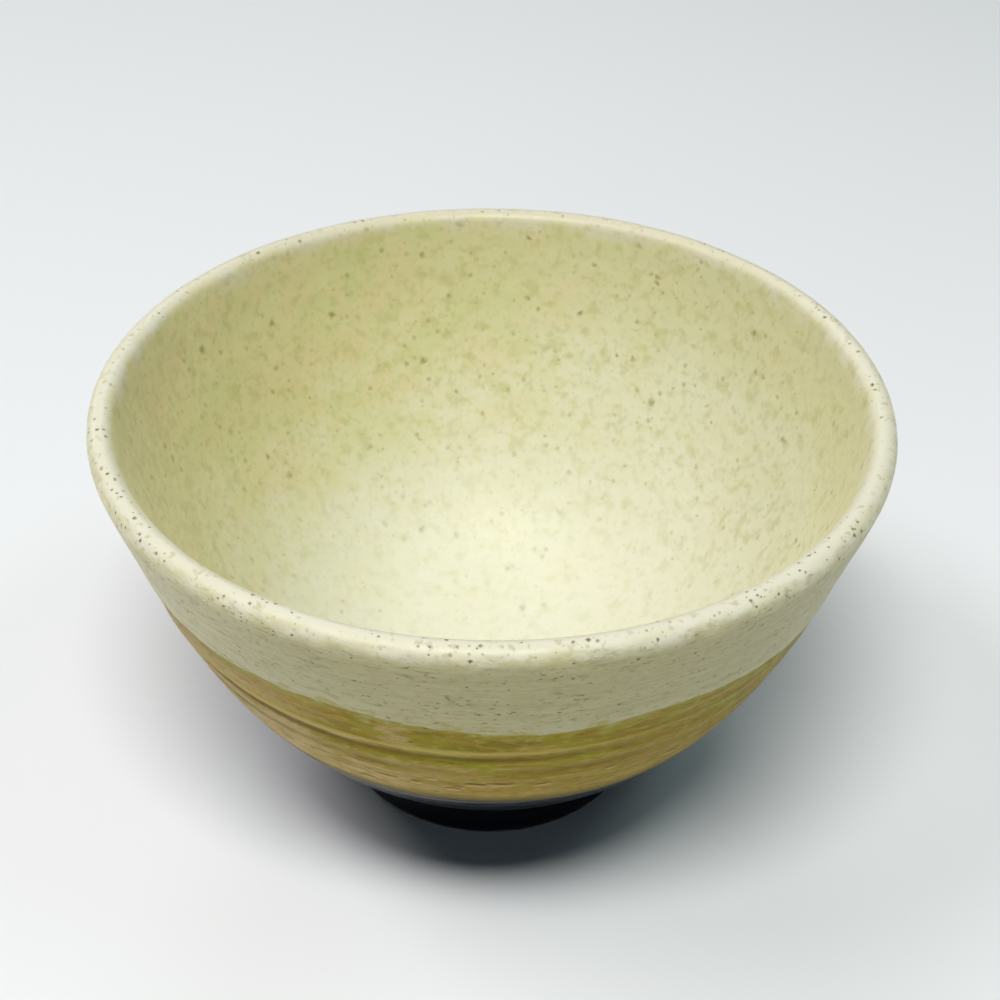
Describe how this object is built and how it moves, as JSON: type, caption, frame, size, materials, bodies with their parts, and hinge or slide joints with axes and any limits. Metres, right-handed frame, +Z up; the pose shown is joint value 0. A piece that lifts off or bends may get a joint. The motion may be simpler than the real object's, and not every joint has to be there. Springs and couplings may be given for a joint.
{
  "type": "matcha bowl",
  "caption": "Wide thrown tea bowl on a low foot ring, with a full-round lip, cream speckled glaze inside and at the rim, a streaked amber band and a gloss black lower belly and foot.",
  "frame": {"origin": "centre of the foot ring's resting face", "axes": "+Z up along the bowl's axis; the bowl is round, so +X and +Y are any two level directions at right angles"},
  "size_m": [0.1202, 0.1202, 0.071],
  "materials": {
    "bare_clay": "matt, unglazed brown stoneware",
    "cream_glaze": "satin, with fine olive-brown iron specks",
    "amber_glaze": "satin, streaked round the bowl, olive at the top and tan below, with short gouges",
    "black_glaze": "gloss"
  },
  "bodies": {
    "root": {"clay_body": "bare_clay", "cream_glaze": "cream_glaze", "amber_glaze": "amber_glaze", "black_glaze": "black_glaze", "foot_recess_glaze": "black_glaze"}
  },
  "joints": []
}
